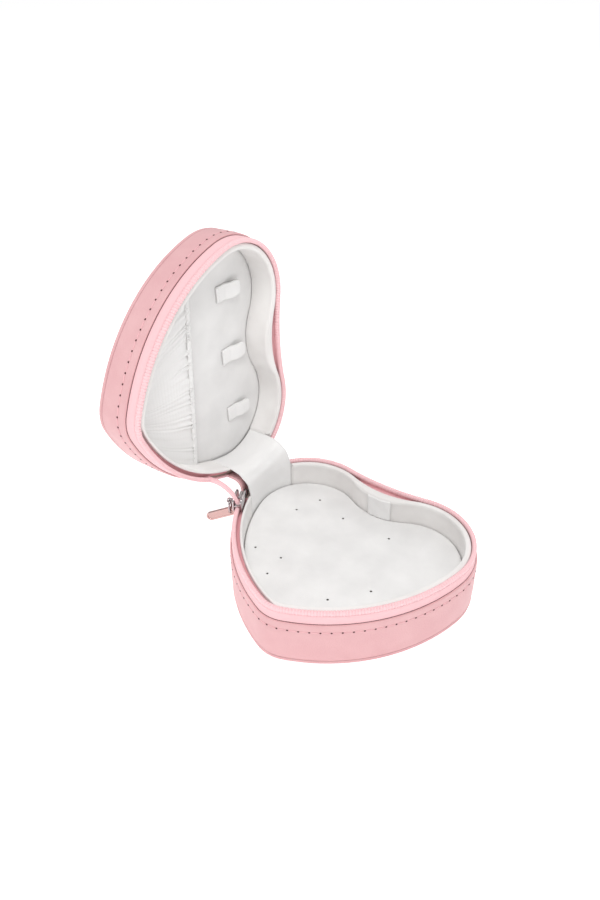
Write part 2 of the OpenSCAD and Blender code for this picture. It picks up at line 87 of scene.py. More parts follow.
SLIDER_A = math.radians(204)
LID_COIL_A = math.radians(209.46)
SLIDER_L, SLIDER_PLATE = 9.0, 0.9
SLIDER_HALF_H = 3.8
LUG_X, LUG_Z = 2.5, PART_Z - 0.5
RING_DROP, WIRE_R, RING_R = 6.0, 0.45, 1.75
PULL_L, PULL_W, PULL_T = 14.5, 4.2, 1.4
PULL_DROOP = math.radians(25)


# ---------- outline ----------

def angle_of(v):
    return math.atan2(v.y, v.x)


LOBE = Vector((WIDTH / 2 - LOBE_R, LENGTH / 2 - LOBE_R))
TIP = Vector((0, TIP_R - LENGTH / 2))


def side_centre():
    """Centre of the right side's arc, which runs smoothly into the lobe and the tip."""
    d = LOBE - TIP
    u = d.normalized()
    to_lobe, to_tip = SIDE_R - LOBE_R, SIDE_R - TIP_R
    along = (d.length_squared + to_tip**2 - to_lobe**2) / (2 * d.length)
    across = math.sqrt(to_tip**2 - along**2)
    return TIP + u * along + Vector((-u.y, u.x)) * across


SIDE = side_centre()
TIP_END, LOBE_START = angle_of(TIP - SIDE), angle_of(LOBE - SIDE)


@functools.lru_cache(None)
def arcs(cleft_r):
    """The outline's right half, from the tip: (centre, radius, first angle, last angle, side).

    Side is 1 where the outline bulges outwards and -1 in the cleft's hollow.
    """
    cleft = Vector((0, LOBE.y + math.sqrt((LOBE_R + cleft_r) ** 2 - LOBE.x**2)))
    end = angle_of(cleft - LOBE)
    return (
        (TIP, TIP_R, -math.pi / 2, TIP_END, 1),
        (SIDE, SIDE_R, TIP_END, LOBE_START, 1),
        (LOBE, LOBE_R, LOBE_START, end, 1),
        (cleft, cleft_r, end + math.pi, 1.5 * math.pi, -1),
    )


SPANS = [abs(a1 - a0) * r for _, r, a0, a1, _ in arcs(LEATHER_CLEFT)]
HALF = sum(SPANS)


def outline(t, inset, cleft_r=LEATHER_CLEFT):
    """Point and outward direction at share t of the way round, from the tip by the right side."""
    s = (t % 1.0) * 2
    left = s > 1
    s = (2 - s if left else s) * HALF
    for arc, span in zip(arcs(round(cleft_r, 3)), SPANS):
        if s <= span + 1e-9:
            break
        s -= span
    centre, r, a0, a1, side = arc
    a = a0 + (a1 - a0) * min(s / span, 1)
    out = Vector((math.cos(a), math.sin(a)))
    p = centre + out * (r - side * inset)
    out = out * side
    if left:
        p.x, out.x = -p.x, -out.x
    return p, out


def half_width(y, inset):
    """Half the width of the case at y, inside the inset."""
    if y > LOBE.y + (LOBE_R - inset) * math.sin(LOBE_START):
        return LOBE.x + math.sqrt((LOBE_R - inset) ** 2 - (y - LOBE.y) ** 2)
    if y > TIP.y + (TIP_R - inset) * math.sin(TIP_END):
        return SIDE.x + math.sqrt((SIDE_R - inset) ** 2 - (y - SIDE.y) ** 2)
    return math.sqrt(max((TIP_R - inset) ** 2 - (y - TIP.y) ** 2, 0))


def t_at_left_y(y):
    """Share of the way round at which the left side passes y."""
    lo, hi = 0.585, 0.99
    for _ in range(40):
        mid = (lo + hi) / 2
        if outline(mid, COIL_IN, ZIP_CLEFT)[0].y > y:
            lo = mid
        else:
            hi = mid
    return lo


def t_at_left_angle(a):
    """Share of the way round at which the left side's arc has angle a."""
    return 1 - (SPANS[0] + SIDE_R * (math.pi - a - TIP_END)) / (2 * HALF)


HINGE_FRONT = t_at_left_y(HINGE_Y0 - 0.4) - 1
HINGE_BACK = t_at_left_y(HINGE_Y1 + 0.4)
LID_ZIP_FRONT = t_at_left_angle(LID_COIL_A) - 1


def in_hinge(p):
    return p.x < 0 and HINGE_Y0 - 0.2 < p.y < HINGE_Y1 + 0.2


def lid_place(p):
    """A point of the lid, drawn like the base with its outer face down, in its open place."""
    dx, dz = p.x - HINGE_X, CLOSED_H - p.z - PART_Z
    c, s = math.cos(OPEN), math.sin(OPEN)
    return Vector((HINGE_X + dx * c - dz * s, p.y, PART_Z + dx * s + dz * c))


# ---------- materials ----------

# Width of one band of Blender's wave texture at scale 1
WAVE_SPAN = math.pi / 10


def srgb(code):
    """Linear colour of a hex sRGB code."""
    part = [int(code[i:i + 2], 16) / 255 for i in (1, 3, 5)]
    return [c / 12.92 if c <= 0.04045 else ((c + 0.055) / 1.055) ** 2.4 for c in part] + [1]


def add_node(tree, kind, links=None, **settings):
    """Adds a shader node, sets its inputs and attributes, and links named inputs to other outputs."""
    made = tree.nodes.new(kind)
    for key, value in settings.items():
        if key in made.inputs:
            made.inputs[key].default_value = value
        else:
            setattr(made, key, value)
    for key, output in (links or {}).items():
        tree.links.new(output, made.inputs[key])
    return made


def material(name, colour, roughness, **uniform):
    """A plain principled material; uniform values go on the shader's own sockets."""
    made = bpy.data.materials.new(name)
    made.use_nodes = True
    shader = made.node_tree.nodes["Principled BSDF"]
    shader.inputs["Base Color"].default_value = srgb(colour)
    shader.inputs["Roughness"].default_value = roughness
    for key, value in uniform.items():
        shader.inputs[key.replace("_", " ")].default_value = value
    made.diffuse_color = srgb(colour)
    return made


def relief(made, pattern, depth_mm, strength=1.0):
    """Bumps the material by a pattern's output, depth_mm deep."""
    tree = made.node_tree
    bump = add_node(tree, "ShaderNodeBump", {"Height": pattern},
                    Strength=strength, Distance=depth_mm * MM)
    tree.links.new(bump.outputs["Normal"], tree.nodes["Principled BSDF"].inputs["Normal"])


def per_mm(size_mm):
    """Texture scale that gives features of that size on coordinates in metres."""
    return 1 / (size_mm * MM)


def mottle(made, colour, other, size_mm):
    """Varies the colour softly between two tones."""
    tree = made.node_tree
    place = add_node(tree, "ShaderNodeTexCoord")
    noise = add_node(tree, "ShaderNodeTexNoise", {"Vector": place.outputs["Object"]},
                     Scale=per_mm(size_mm), Detail=3.0)
    ramp = add_node(tree, "ShaderNodeValToRGB", {"Fac": noise.outputs["Fac"]})
    ramp.color_ramp.elements[0].position, ramp.color_ramp.elements[1].position = 0.3, 0.7
    ramp.color_ramp.elements[0].color = srgb(colour)
    ramp.color_ramp.elements[1].color = srgb(other)
    tree.links.new(ramp.outputs["Color"], tree.nodes["Principled BSDF"].inputs["Base Color"])
    return place


def grained_leather(name, colour, other):
    """Polyurethane leather with a fine pebble grain.

    Real pebbles are near 0.4 mm; they are drawn as coarse as they need to show.
    """
    made = material(name, colour, 0.48, Specular_IOR_Level=0.4)
    place = mottle(made, colour, other, 9)
    tree = made.node_tree
    pebble = add_node(tree, "ShaderNodeTexVoronoi", {"Vector": place.outputs["Object"]},
                      Scale=per_mm(0.75))
    fine = add_node(tree, "ShaderNodeTexNoise", {"Vector": place.outputs["Object"]},
                    Scale=per_mm(0.35), Detail=2.0)
    both = add_node(tree, "ShaderNodeMath", {0: pebble.outputs["Distance"], 1: fine.outputs["Fac"]},
                    operation="ADD")
    relief(made, both.outputs["Value"], 0.08, 0.7)
    return made


def woven(name, colour, roughness, band_mm, depth_mm, **uniform):
    """Cloth with warp and weft, on UV in metres.

    Real threads are 0.2 to 0.4 mm; the bands are drawn as coarse as they need to show.
    """
    made = material(name, colour, roughness, **uniform)
    tree = made.node_tree
    place = add_node(tree, "ShaderNodeTexCoord")
    bands = [add_node(tree, "ShaderNodeTexWave", {"Vector": place.outputs["UV"]},
                      Scale=per_mm(band_mm) * WAVE_SPAN, bands_direction=axis) for axis in "XY"]
    both = add_node(tree, "ShaderNodeMath",
                    {0: bands[0].outputs["Fac"], 1: bands[1].outputs["Fac"]},
                    operation="MULTIPLY")
    relief(made, both.outputs["Value"], depth_mm, 0.6)
    return made


def piled(name, colour, other):
    """Short-pile velvet: a soft mottled nap with a sheen."""
    made = material(name, colour, 0.95, Sheen_Weight=0.25, Sheen_Roughness=0.5,
                    Specular_IOR_Level=0.15)
    place = mottle(made, colour, other, 14)
    tree = made.node_tree
    nap = add_node(tree, "ShaderNodeTexNoise", {"Vector": place.outputs["Object"]},
                   Scale=per_mm(0.4), Detail=4.0)
    relief(made, nap.outputs["Fac"], 0.12, 0.6)
    return made


# Pink polyurethane leather of the covers, walls and piping
LEATHER = grained_leather("pink_leather", "#d9a8ab", "#deb0b2")
# Pink cloth over the board's edge, seen between coil and lining; its deeper pink is painted shade of the gap
# there
EDGE_CLOTH_SHADE = woven("pink_cloth_painted_shade", "#eeb0b6", 0.9, 2.5, 0.05)
# Woven polyester zip tape
TAPE = woven("pink_zip_tape", "#f0c3c7", 0.85, 2.2, 0.08)
# Nylon coil
COIL = material("pink_nylon_coil", "#f4c8cc", 0.38)
# Shadowed seams and needle holes
SEAM = material("dark_seam", "#4d2226", 0.9)
# Twisted polyester sewing thread
THREAD = woven("pink_thread", "#e4b2b6", 0.7, 1.9, 0.05)
# White thread of the lid's fittings
WHITE_THREAD = woven("white_thread", "#e4e2e0", 0.7, 1.9, 0.05)
# Painted shade in the shallow crease between wall and piping
CREASE_SHADE = material("crease_painted_shade", "#b98388", 0.8)
# White short-pile velvet of the pad and the lid's panel
VELVET = piled("white_velvet", "#dfdedd", "#e9e8e7")
# Velvet of the padded walls, a little warmer
WALL_VELVET = piled("warm_white_velvet", "#e2dfdd", "#ebe9e7")
# Unlit bottoms of the post holes
HOLE = material("post_hole_shadow", "#3b3532", 0.95)
# White satin ribbon, strap and pocket
SATIN = woven("white_satin", "#e9e8e7", 0.42, 1.9, 0.04, Sheen_Weight=0.2, Anisotropic=0.4)
# Greyboard
BOARD = material("greyboard", "#b9ada2", 0.9)
# Polished plating of the slider, ring and stops
CHROME = material("polished_chrome", "#b9b3b4", 0.16, Metallic=1.0)
# The pull's warmer plating
PULL = material("rose_silver_plate", "#c0a19d", 0.24, Metallic=1.0)


# ---------- building ----------

def grid(bm, nu, nv, place, span=(1.0, 1.0)):
    """Adds a grid of nu by nv cells laid out by place(u, v) in mm, with UV in metres over span in mm."""
    verts = bmesh.ops.create_grid(bm, x_segments=nu, y_segments=nv, size=0.5)["verts"]
    uv = bm.loops.layers.uv.verify()
    where = {v: (min(max(v.co.x + 0.5, 0), 1), min(max(v.co.y + 0.5, 0), 1)) for v in verts}
    for v, (a, b) in where.items():
        for loop in v.link_loops:
            loop[uv].uv = (a * span[0] * MM, b * span[1] * MM)
    for v, (a, b) in where.items():
        v.co = place(a, b)
    return verts


def weld(bm, dist=0.002):
    """Merges points that meet."""
    bmesh.ops.remove_doubles(bm, verts=bm.verts, dist=dist)


def fill_open_edges(bm):
    """Closes every open loop with triangles."""
    weld(bm)
    bmesh.ops.holes_fill(bm, edges=[e for e in bm.edges if e.is_boundary], sides=0)
    bmesh.ops.triangulate(bm, faces=[f for f in bm.faces if len(f.verts) > 4], ngon_method="BEAUTY")


def piece(name, bm, finish, body, replaces=(), in_lid=False, thick=0, sharp=45):
    """Turns a bmesh in mm into an object that rides on a CAD body."""
    weld(bm)
    if in_lid:
        for v in bm.verts:
            v.co = lid_place(v.co)
    bmesh.ops.scale(bm, vec=(MM,) * 3, verts=bm.verts)
    bmesh.ops.recalc_face_normals(bm, faces=bm.faces)
    mesh = bpy.data.meshes.new(name)
    bm.to_mesh(mesh)
    bm.free()
    mesh.polygons.foreach_set("use_smooth", [True] * len(mesh.polygons))
    mesh.set_sharp_from_angle(angle=math.radians(sharp))
    mesh.materials.append(finish)
    obj = bpy.data.objects.new(name, mesh)
    bpy.context.collection.objects.link(obj)
    if thick:
        shell = obj.modifiers.new("thickness", "SOLIDIFY")
        shell.thickness, shell.offset = thick * MM, 0
    if body:
        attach(obj, body)
    if replaces:
        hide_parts(*replaces)
    return obj


def rounded(points, radius, steps=4):
    """A profile of (inset, height, cleft radius) with its inner corners rounded."""
    pts = [Vector(p) for p in points]
    made = [pts[0]]
    for before, here, after in zip(pts, pts[1:], pts[2:]):
        to_before, to_after = before - here, after - here
        r = min(radius, to_before.xy.length / 2, to_after.xy.length / 2)
        a = here + to_before * (r / max(to_before.xy.length, 1e-9))
        b = here + to_after * (r / max(to_after.xy.length, 1e-9))
        for k in range(steps + 1):
            t = k / steps
            made.append(a * (1 - t) ** 2 + here * 2 * t * (1 - t) + b * t * t)
    return made + [pts[-1]]


def profile_at(profile, v):
    """The profile's point at a share of its points."""
    return profile[round(v * (len(profile) - 1))]


def sweep(profile, t0=0.0, t1=1.0, steps=420, adjust=None, solid=False):
    """Sweeps a profile of (inset, height, cleft radius) round the heart.

    Adjust may move a point of the profile by where it is; solid closes both ends of the profile.
    """
    bm = bmesh.new()
    tall = sum((b - a).xy.length for a, b in zip(profile, profile[1:]))

    def place(u, v):
        inset, z, cleft = profile_at(profile, v)
        t = t0 + (t1 - t0) * u
        p = outline(t, inset, cleft)[0]
        if adjust:
            inset, z = adjust(t % 1.0, p, inset, z)
            p = outline(t, inset, cleft)[0]
        return Vector((p.x, p.y, z))

    grid(bm, steps, len(profile) - 1, place, (2 * HALF * (t1 - t0), tall))
    if solid:
        fill_open_edges(bm)
    return bm


def plane_frame(p, out, z):
    """Axes along the wall, outwards and up, at a point of the outline."""
    along = Vector((-out.y, out.x, 0))
    m = Matrix((along, (out.x, out.y, 0), (0, 0, 1))).transposed().to_4x4()
    return Matrix.Translation((p.x, p.y, z)) @ m


def blob(bm, place, size, blunt=1.0):
    """A rounded bead of that size, laid along its first axis; blunt below 1 squares its ends."""
    for v in bmesh.ops.create_uvsphere(bm, u_segments=8, v_segments=7, radius=1)["verts"]:
        c = v.co
        c.x = math.copysign(abs(c.x) ** blunt, c.x)
        v.co = place @ Vector((c.x * size[0] / 2, c.y * size[1] / 2, c.z * size[2] / 2))


def box(bm, place, size, bevel=0.0, corner=0.0, corner_axis=0):
    """A box of that size centred at place.

    Corner rounds the four edges along an axis, and bevel the sharp edges that are left.
    """
    others = set(bm.verts)
    fresh = bmesh.ops.create_cube(bm, size=1)["verts"]
    bmesh.ops.scale(bm, vec=size, verts=fresh)
    if corner:
        across = [i for i in range(3) if i != corner_axis]
        edges = {e for v in fresh for e in v.link_edges
                 if all(abs(e.verts[0].co[i] - e.verts[1].co[i]) < 1e-6 for i in across)}
        bmesh.ops.bevel(bm, geom=list(edges), offset=corner, segments=6, profile=0.5,
                        affect="EDGES", material=-1)
    fresh = set(bm.verts) - others
    if bevel:
        edges = {e for v in fresh for e in v.link_edges if e.calc_face_angle(0) > 0.6}
        bmesh.ops.bevel(bm, geom=list(edges), offset=bevel, segments=2, profile=0.5,
                        affect="EDGES", material=-1)
    for v in set(bm.verts) - others:
        v.co = place @ v.co


def tube(bm, path, nu, radius, nv=12):
    """A closed tube of round section along path(u), which returns a point and two section axes."""
    def place(u, v):
        p, a, b = path(u)
        w = 2 * math.pi * v
        return p + a * (radius * math.cos(w)) + b * (radius * math.sin(w))

    grid(bm, nu, nv, place)
    weld(bm)


# ---------- pieces that both halves share ----------

def outer_cover(name, body, in_lid, puff):
    """The heart-shaped leather of the underside or the lid's top, raised by puff in the middle."""
    profile = rounded([(FILL_IN, -puff, LEATHER_CLEFT), (8, -puff * 0.8, LEATHER_CLEFT),
                       (3, 0, LEATHER_CLEFT), (1.7, 0.5, LEATHER_CLEFT), (2.6, 1, LEATHER_CLEFT),
                       (FILL_IN, 1, LEATHER_CLEFT)], 0.8)
    bm = sweep(profile, solid=True)
    return piece(name, bm, LEATHER, body, [name.replace("_leather", "")], in_lid)


def piping(half, in_lid):
    """Leather-covered cord along the edge of the outer face."""
    sides = 14
    profile = [Vector((1 - math.cos(2 * math.pi * k / sides), 1 + math.sin(2 * math.pi * k / sides),
                       LEATHER_CLEFT)) for k in range(sides + 1)]
    piece(half + "_piping_cord", sweep(profile), LEATHER, half, [half + "_piping"], in_lid)


def leather_wall(half, h, in_lid):
    """Side leather, drawn in a little along the stitches and turned in at the tape."""
    c = LEATHER_CLEFT
    stitch_z = h - STITCH_MARGIN
    profile = rounded([(1.2, 1.75, c), (0.2, 1.9, c), (0, 2.7, c), (-0.12, h * 0.4, c),
                       (-0.05, stitch_z - 1.2, c), (0.1, stitch_z, c), (-0.05, stitch_z + 1.2, c),
                       (0.0, h - 0.9, c), (0.15, h - 0.05, c), (0.95, h, c), (1.04, h - 1.2, c)], 0.6)
    piece(half + "_wall_leather", sweep(profile), LEATHER, half, [half + "_wall_cover"],
          in_lid)


def seam_lines(half, h, in_lid):
    """Thin lines of painted shade where the leather turns in at the tape and in the crease where it meets the
    piping.
    """
    sides = 6
    # Name, inset, height, radius and finish
    lines = (("upper", 1.04, h + 0.05, 0.27, SEAM),
             ("lower", 0.3, 2.0, 0.15, CREASE_SHADE))
    for name, inset, z, r, finish in lines:
        profile = [Vector((inset + r * math.cos(2 * math.pi * k / sides),
                           z + r * math.sin(2 * math.pi * k / sides), LEATHER_CLEFT))
                   for k in range(sides + 1)]
        piece(f"{half}_{name}_seam", sweep(profile), finish, half, in_lid=in_lid)


def stitches(half, h, in_lid):
    """A row of sunken stitches, with a needle hole of painted shade between each two."""
    count = round(2 * HALF / STITCH_PITCH)
    threads, holes = bmesh.new(), bmesh.new()
    for k in range(count):
        p, out = outline((k + 0.5) / count, 0.04)
        place = plane_frame(p, out, h - STITCH_MARGIN) @ Matrix.Rotation(math.radians(3), 4, "Y")
        blob(threads, place, (STITCH_LENGTH + 0.4, 0.42, 0.6), 0.55)
        p, out = outline(k / count, -0.02)
        blob(holes, plane_frame(p, out, h - STITCH_MARGIN), (0.85, 0.3, 0.75))
    piece(half + "_stitches", threads, THREAD, half, [half + "_wall_stitching"], in_lid)
    piece(half + "_needle_holes", holes, SEAM, half, in_lid=in_lid)


def zip_tape(half, h, in_lid):
    """Tape from under the leather's edge to the coil; its cleft gets flatter on the way."""
    profile = rounded([(1.1, h - 1.5, LEATHER_CLEFT), (1.1, h + 0.4, LEATHER_CLEFT),
                       (1.15, h + 1.4, 58), (1.25, h + 2.6, 86),
                       (1.4, h + BAND - COIL_H + 0.4, ZIP_CLEFT)], 0.5)
    bm = sweep(profile, HINGE_FRONT, HINGE_BACK)
    piece(half + "_tape", bm, TAPE, half, [half + "_zip_tape"], in_lid, thick=0.5)


def zip_coil(half, h, front, in_lid):
    """Ribbed coil from front to the back end of the hinge."""
    middle = COIL_IN + COIL_W / 2
    ts = np.linspace(front, HINGE_BACK, 2400)
    path = np.array([outline(t, middle, ZIP_CLEFT)[0] for t in ts])
    run = np.concatenate([[0], np.cumsum(np.linalg.norm(np.diff(path, axis=0), axis=1))])
    turns = round(run[-1] / COIL_PITCH)
    z = h + BAND - COIL_H / 2

    def place(u, v):
        t = float(np.interp(u * run[-1], run, ts))
        w = 2 * math.pi * v
        rib = 0.62 + 0.38 * abs(math.cos(math.pi * u * turns)) ** 0.6
        a, b = (math.copysign(abs(f) ** 0.75, f) for f in (math.cos(w), math.sin(w)))
        p = outline(t, middle - a * (0.4 + 0.6 * rib) * COIL_W / 2, ZIP_CLEFT)[0]
        return Vector((p.x, p.y, z + b * (0.3 + 0.7 * rib) * COIL_H / 2))

    bm = bmesh.new()
    grid(bm, turns * 6, 12, place, (run[-1], 6))
    fill_open_edges(bm)
    piece(half + "_coil", bm, COIL, half, [half + "_zip_coil"], in_lid, sharp=70)


def board_edge(half, h, in_lid):
    """Pink cloth that covers the board's edge, from the tape to the lining, painted deeper pink for the shade in
    the gap.
    """
    top = h + BOARD_ABOVE + 0.06
    profile = [Vector(p) for p in ((1.75, top - 0.5, 80), (2.4, top, 66), (3.4, top + 0.02, 52),
                                   (RIM_IN + 0.2, top + 0.03, LEATHER_CLEFT))]
    piece(half + "_board_edge_cloth", sweep(profile, HINGE_FRONT, HINGE_BACK), EDGE_CLOTH_SHADE, half,
          in_lid=in_lid)


def lining_wall(half, h, z0, in_lid):
    """Padded velvet wall with a soft bead along its rim.

    It is let in for the hinge strap. The bead reaches out over the board's edge, but not along the slider's way.
    """
    top, c = h + BAND - 1.2, LINING_CLEFT
    # Shares of the way round between which the slider runs, with 1 at the tip
    slider_from, slider_to, fade = 0.72, 1.012, 0.02
    bead_reach = 1.25
    profile = rounded([(LINING_IN, z0, c), (LINING_IN + 0.1, (z0 + h) / 2, c), (LINING_IN, h + 2, c),
                       (LINING_IN + 0.25, top - 1, c), (LINING_IN, top - 0.1, 26),
                       (4.9, top + 0.1, 33), (RIM_IN, top - 0.2, 40),
                       (RIM_IN, top - 1.2, LEATHER_CLEFT),
                       (RIM_IN + 0.1, h + BOARD_ABOVE, LEATHER_CLEFT)], 0.7)

    def let_in(t, p, inset, z):
        if in_hinge(p):
            return min(inset, RECESS_IN), min(z, h + BOARD_ABOVE)
        way = t if t > 0.5 else t + 1
        near = min(max(min(way - slider_from, slider_to - way) / fade, 0), 1)
        if z > h + BOARD_ABOVE - 0.2 and inset < LINING_IN:
            inset -= (1 - near) * bead_reach * (LINING_IN - inset) / (LINING_IN - RIM_IN)
        return inset, z

    obj = piece(half + "_lining", sweep(profile, adjust=let_in), WALL_VELVET, half,
                [half + "_lining_wall"], in_lid, sharp=60)


for half, h, front, in_lid in (("base", BASE_H, HINGE_FRONT, False), ("lid", LID_H, LID_ZIP_FRONT, True)):
    piping(half, in_lid)
    leather_wall(half, h, in_lid)
    seam_lines(half, h, in_lid)
    stitches(half, h, in_lid)
    zip_tape(half, h, in_lid)
    zip_coil(half, h, front, in_lid)
    board_edge(half, h, in_lid)

outer_cover("base_bottom_cover_leather", "base", False, 0.0)
outer_cover("lid_top_cover_leather", "lid", True, 0.6)
lining_wall("base", BASE_H, FLOOR_Z + 0.05, False)
lining_wall("lid", LID_H, LID_PANEL_Z - 0.6, True)


# ---------- inside the base ----------

def floor_lining():
    """Velvet on the base's floor, under the earring panel."""
    profile = rounded([(FILL_IN, 3.1, LEATHER_CLEFT), (3.3, 3.1, LEATHER_CLEFT),
                       (3.3, FLOOR_Z, LEATHER_CLEFT), (FILL_IN, FLOOR_Z, LEATHER_CLEFT)], 0.3)
    piece("base_floor_velvet", sweep(profile, solid=True), VELVET, "base",
          ["base_floor_lining"])


def ledge():
    """Velvet-covered ledge that carries the earring panel."""
    profile = rounded([(5.5, FLOOR_Z + 0.05, LINING_CLEFT), (8.3, FLOOR_Z + 0.05, LINING_CLEFT),
                       (8.3, 12.9, LINING_CLEFT), (5.5, 12.9, LINING_CLEFT),
                       (5.5, FLOOR_Z + 0.05, LINING_CLEFT)], 0.7)
    piece("panel_ledge_velvet", sweep(profile), WALL_VELVET, "base", ["panel_ledge"])


POST_HOLES = [Vector(h) for h in ((-32, 18), (-27, 30), (-11, 25), (13, 25), (-32, -13), (-19, -12),
                                  (-18, -23), (11, -21), (23, -7))]
POST_HOLE_R = 0.55


def from_post_hole(p):
    """Distance from a point to the nearest post hole's centre."""
    return min((p - h).length for h in POST_HOLES)


def pad_surface(p):
    """The pad's face over a point, swelling softly and dented round the holes."""
    dent = sum(0.5 * math.exp(-((p - h).length / 1.5) ** 2) for h in POST_HOLES)
    swell = 0.1 * math.sin(0.31 * p.x + 1) * math.sin(0.27 * p.y + 0.6)
    return Vector((p.x, p.y, PAD_Z - dent + swell))


def pad_face(bm, rim, steps):
    """Fills the pad's face inside the rim with triangles that leave the post holes open."""
    sides, spacing, clear, round_hole = 16, 2, rim + 2.0, 1.2
    cleft_y = LOBE.y + math.sqrt((LOBE_R + LINING_CLEFT) ** 2 - LOBE.x**2)
    border = [outline(k / steps, rim, LINING_CLEFT)[0] for k in range(steps)]
    rings = [[h + Vector((POST_HOLE_R * math.cos(2 * math.pi * k / sides),
                          POST_HOLE_R * math.sin(2 * math.pi * k / sides))) for k in range(sides)]
             for h in POST_HOLES]
    inside = [p for p in (Vector((x, y)) for x in range(-46, 47, spacing) for y in range(-34, 35, spacing))
              if abs(p.x) < half_width(p.y, clear)
              and math.hypot(p.x, p.y - cleft_y) > LINING_CLEFT + clear and from_post_hole(p) > round_hole]
    flat, loops = list(border), [list(range(steps))]
    for ring in rings:
        loops.append(list(range(len(flat), len(flat) + sides)))
        flat += ring
    flat += inside

    inside_loops, nearest = 1, 1e-6
    points, _, faces, *_ = mathutils.geometry.delaunay_2d_cdt(flat, [], loops, inside_loops, nearest)
    verts = []
    for p in points:
        on_border = min((p - q).length for q in border[::4]) < 1
        verts.append(bm.verts.new(Vector((p.x, p.y, PAD_Z)) if on_border else pad_surface(p)))
    for face in faces:
        middle = sum((points[i] for i in face), Vector((0, 0))) / len(face)
        if from_post_hole(middle) > POST_HOLE_R * 0.98:
            bm.faces.new([verts[i] for i in face])
    for ring in rings:
        top = [bm.verts.new(pad_surface(q)) for q in ring]
        low = [bm.verts.new(Vector((q.x, q.y, PAD_Z - 1.1))) for q in ring]
        for k in range(sides):
            bm.faces.new((top[k], top[k - 1], low[k - 1], low[k]))


def earring_pad():
    """Velvet pad with a rounded edge, and soft dents round its blind holes for earring posts."""
    z0, rim, steps, c = 15.05, 8.0, 420, LINING_CLEFT
    profile = rounded([(FILL_IN, z0, c), (5.9, z0, c), (5.72, z0 + 0.5, c),
                       (6.3, PAD_Z, c), (rim, PAD_Z, c)], 0.7)
    bm = sweep(profile, steps=steps)
    weld(bm)
    under = [e for e in bm.edges if e.is_boundary and e.verts[0].co.z < PAD_Z - 0.5]
    bmesh.ops.holes_fill(bm, edges=under, sides=0)
    bmesh.ops.triangulate(bm, faces=[f for f in bm.faces if len(f.verts) > 4], ngon_method="BEAUTY")
    pad_face(bm, rim, steps)
    pad = piece("earring_pad_velvet", bm, VELVET, "earring_panel", ["earring_pad"], sharp=50)

    bottoms = bmesh.new()
    for h in POST_HOLES:
        bmesh.ops.create_circle(bottoms, cap_ends=True, segments=16, radius=POST_HOLE_R,
                                matrix=Matrix.Translation((h.x, h.y, PAD_Z - 0.75)))
    piece("post_hole_bottoms", bottoms, HOLE, "earring_panel")


def pull_ribbon():
    """Folded loop of satin ribbon that stands against the lining at the cleft."""
    r = LINING_CLEFT + LINING_IN + 0.35
    cy = LOBE.y + math.sqrt((LOBE_R + LINING_CLEFT) ** 2 - LOBE.x**2)
    width, bottom, top, fold = 11.0, PAD_Z + 0.15, 27.0, 0.35
    middle = 1.5 * math.pi + math.asin(2 / r)
    straight = top - bottom
    length = 2 * straight + math.pi * fold

    def place(u, v):
        s = v * length
        if s < straight:
            away, z = 0, bottom + s
        elif s > length - straight:
            away, z = 2 * fold, bottom + length - s
        else:
            w = (s - straight) / fold
            away, z = fold * (1 - math.cos(w)), top + fold * math.sin(w)
        a = middle + (u - 0.5) * width / r
        lean = 0.5 * ((z - bottom) / straight) ** 2 + 0.12 * math.sin(7 * u + 0.6 * z)
        rho = r + away + max(lean, 0)
        return Vector((rho * math.cos(a), cy + rho * math.sin(a), z))

    bm = bmesh.new()
    grid(bm, 16, 44, place, (width, length))
    obj = piece("pull_ribbon_satin", bm, SATIN, "earring_panel", ["pull_ribbon"], thick=0.3)


floor_lining()
ledge()
earring_pad()
pull_ribbon()


# ---------- hinge ----------

def strip_point(y, inset, base_foot, bend, lid_foot, v):
    """A point of a strip up the base's wall, round a bend beside the hinge axis and along the lid's wall."""
    x = -half_width(y, inset)
    foot = Vector((x, y, base_foot))
    start = Vector((x, y, PART_Z - bend))
    end = lid_place(Vector((x, y, CLOSED_H - PART_Z - bend)))
    corner = Vector((x, y, max(end.z, start.z)))
    last = lid_place(Vector((x, y, lid_foot)))
    if v < 0.3:
        return foot.lerp(start, v / 0.3)
    if v > 0.7:
        return end.lerp(last, (v - 0.7) / 0.3)
    t = (v - 0.3) / 0.4
    return start * (1 - t) ** 2 + corner * 2 * t * (1 - t) + end * t * t


def strip(name, finish, node, inset, base_foot, bend, lid_foot, thick, crease, trim):
    """A hinge strip drawn round its bend to the open lid; crease is the depth of the wrinkles at its bend."""
    def place(u, v):
        y = HINGE_Y0 + trim + (HINGE_W - 2 * trim) * u
        p = strip_point(y, inset, base_foot, bend, lid_foot, v)
        turn = math.pi / 2 * min(max((v - 0.3) / 0.4, 0), 1)
        near_bend = math.exp(-((v - 0.5) / 0.17) ** 2)
        wave = math.sin(46 * v + 1.5 * math.sin(4 * u)) + 0.6 * math.sin(9 * u + 20 * v)
        shift = crease * near_bend * wave
        return p + Vector((math.cos(turn), 0, math.sin(turn))) * shift

    bm = bmesh.new()
    grid(bm, 40, 70, place, (HINGE_W, 60))
    obj = piece(name, bm, finish, None, (), thick=thick)
    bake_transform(obj)
    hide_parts(node)
    return obj


